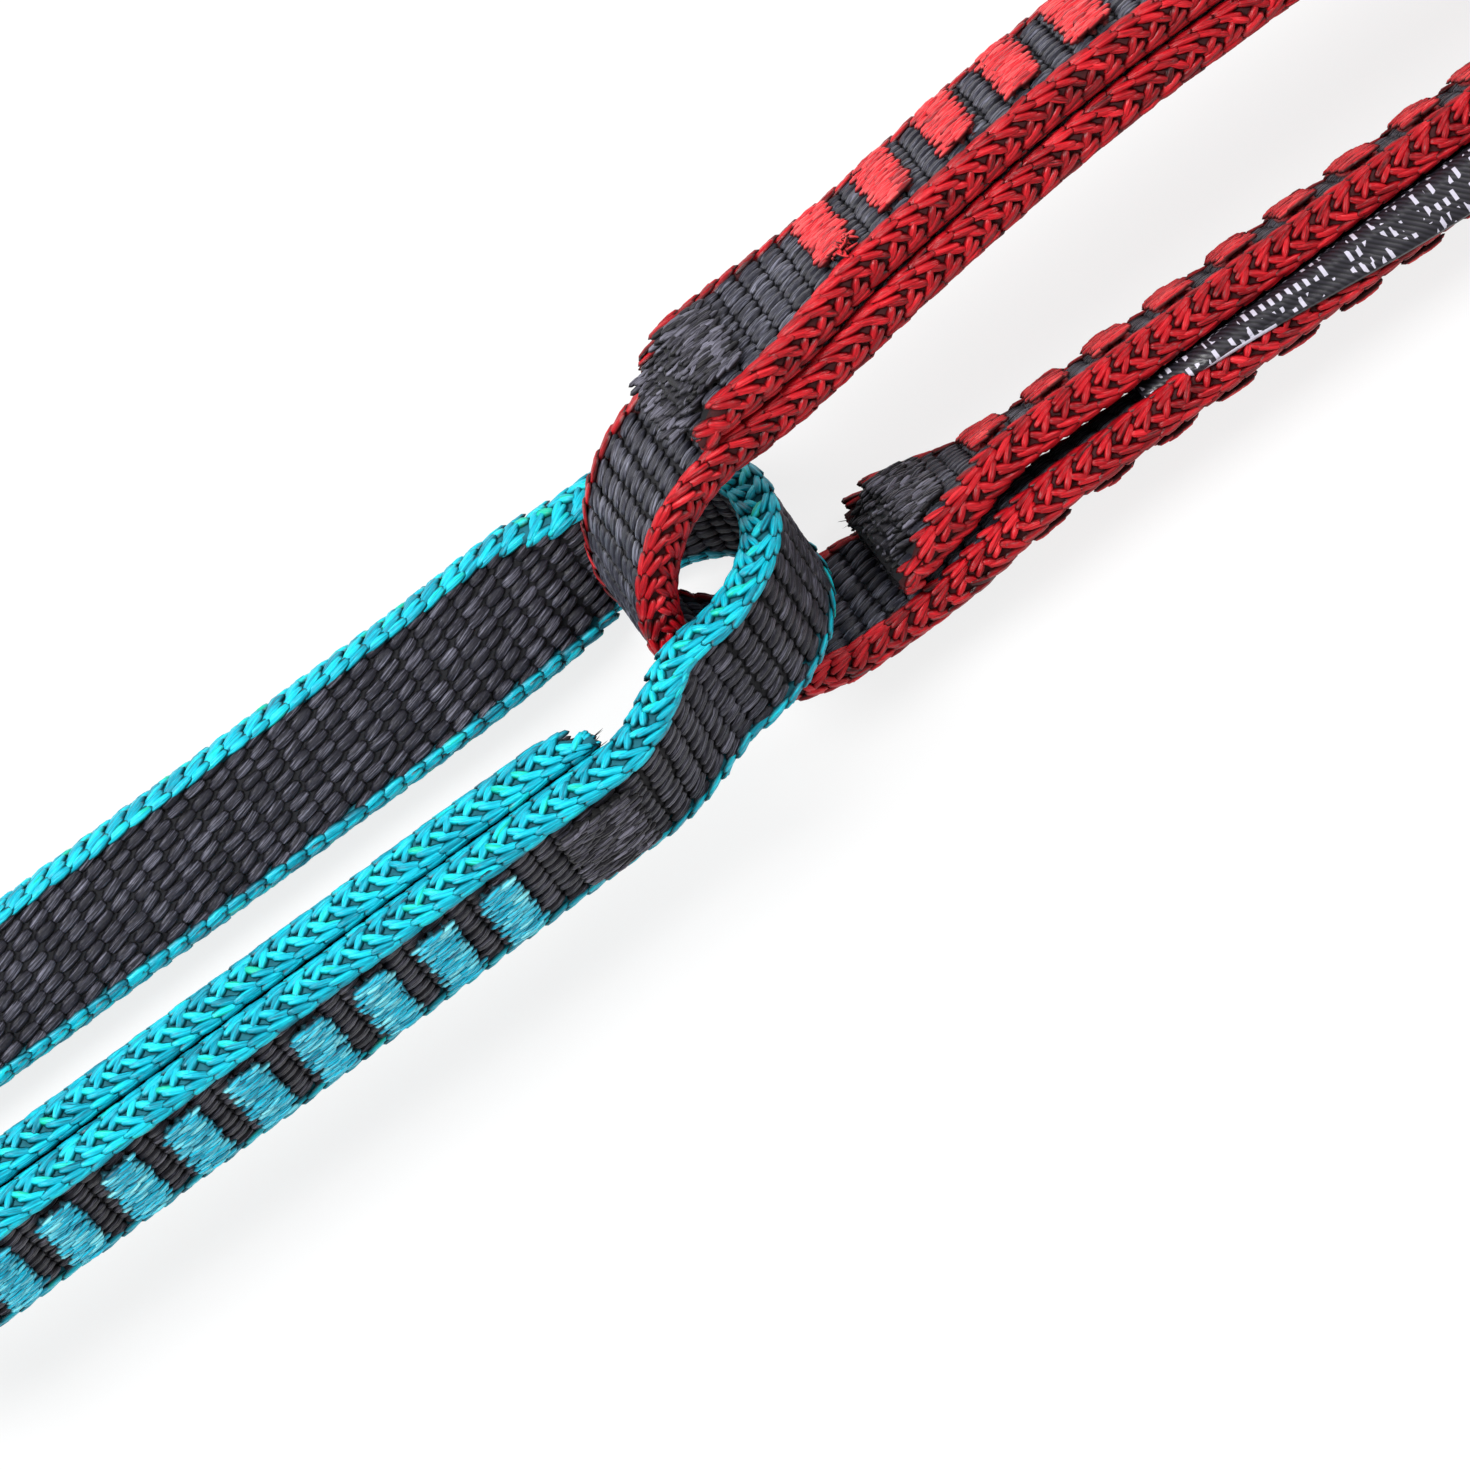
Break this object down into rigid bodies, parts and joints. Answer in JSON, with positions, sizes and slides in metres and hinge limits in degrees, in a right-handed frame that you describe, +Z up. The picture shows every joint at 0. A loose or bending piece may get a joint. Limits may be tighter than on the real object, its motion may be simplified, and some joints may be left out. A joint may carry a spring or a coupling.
{
  "type": "climbing daisy chain",
  "caption": "Chain of sewn webbing rings with bar tacked overlaps and fat edge cords, each ring threaded through the next, with a tie-in ring at one end.",
  "frame": {"origin": "middle of the chain's box, on the surface that it lies on", "axes": "+X along the chain towards the tie-in ring, +Z up; the rings lean 45 degrees to either side in turn"},
  "size_m": [0.3386, 0.0328, 0.033],
  "materials": {
    "red_webbing": "woven polyamide tape, charcoal body with red edge cords",
    "turquoise_webbing": "woven polyamide tape, charcoal body with turquoise edge cords",
    "coral_thread": "bar tack thread",
    "turquoise_thread": "bar tack thread",
    "black_thread": "dense end tack thread",
    "label_tape": "woven satin label tape"
  },
  "bodies": {
    "tie_in_ring": {"tie_in_high_bar_tack_01": "coral_thread", "tie_in_high_bar_tack_02": "coral_thread", "tie_in_high_bar_tack_03": "coral_thread", "tie_in_high_bar_tack_04": "coral_thread", "tie_in_high_bar_tack_05": "coral_thread", "tie_in_high_bar_tack_06": "coral_thread", "tie_in_high_bar_tack_07": "coral_thread", "tie_in_high_bar_tack_08": "coral_thread", "tie_in_high_bar_tack_09": "coral_thread", "tie_in_high_bar_tack_10": "coral_thread", "tie_in_high_bar_tack_11": "coral_thread", "tie_in_high_bar_tack_12": "coral_thread", "tie_in_high_bar_tack_13": "coral_thread", "tie_in_inner_end_tack": "black_thread", "tie_in_low_bar_tack_01": "coral_thread", "tie_in_low_bar_tack_02": "coral_thread", "tie_in_low_bar_tack_03": "coral_thread", "tie_in_low_bar_tack_04": "coral_thread", "tie_in_low_bar_tack_05": "coral_thread", "tie_in_low_bar_tack_06": "coral_thread", "tie_in_low_bar_tack_07": "coral_thread", "tie_in_low_bar_tack_08": "coral_thread", "tie_in_low_bar_tack_09": "coral_thread", "tie_in_low_bar_tack_10": "coral_thread", "tie_in_low_bar_tack_11": "coral_thread", "tie_in_low_bar_tack_12": "coral_thread", "tie_in_low_bar_tack_13": "coral_thread", "tie_in_outer_end_tack": "black_thread", "tie_in_webbing": "red_webbing", "tie_in_woven_label": "label_tape"},
    "chain_ring_1": {"ring_1_bar_tack_01": "turquoise_thread", "ring_1_bar_tack_02": "turquoise_thread", "ring_1_bar_tack_03": "turquoise_thread", "ring_1_bar_tack_04": "turquoise_thread", "ring_1_bar_tack_05": "turquoise_thread", "ring_1_bar_tack_06": "turquoise_thread", "ring_1_bar_tack_07": "turquoise_thread", "ring_1_bar_tack_08": "turquoise_thread", "ring_1_bar_tack_09": "turquoise_thread", "ring_1_bar_tack_10": "turquoise_thread", "ring_1_inner_end_tack": "black_thread", "ring_1_outer_end_tack": "black_thread", "ring_1_webbing": "turquoise_webbing"},
    "chain_ring_2": {"ring_2_bar_tack_01": "turquoise_thread", "ring_2_bar_tack_02": "turquoise_thread", "ring_2_bar_tack_03": "turquoise_thread", "ring_2_bar_tack_04": "turquoise_thread", "ring_2_bar_tack_05": "turquoise_thread", "ring_2_bar_tack_06": "turquoise_thread", "ring_2_bar_tack_07": "turquoise_thread", "ring_2_bar_tack_08": "turquoise_thread", "ring_2_bar_tack_09": "turquoise_thread", "ring_2_bar_tack_10": "turquoise_thread", "ring_2_inner_end_tack": "black_thread", "ring_2_outer_end_tack": "black_thread", "ring_2_webbing": "turquoise_webbing"}
  },
  "joints": [
    {"name": "ring_1_swing", "type": "hinge", "parent": "tie_in_ring", "child": "chain_ring_1", "pos_m": [0.0553, -0.00244, 0.01153], "axis": [0, -0.7071, 0.7071], "range_deg": [-90, 80]},
    {"name": "ring_2_swing", "type": "hinge", "parent": "chain_ring_1", "child": "chain_ring_2", "pos_m": [-0.0522, -0.00244, 0.01153], "axis": [0, 0.7071, 0.7071], "range_deg": [-90, 90]}
  ]
}
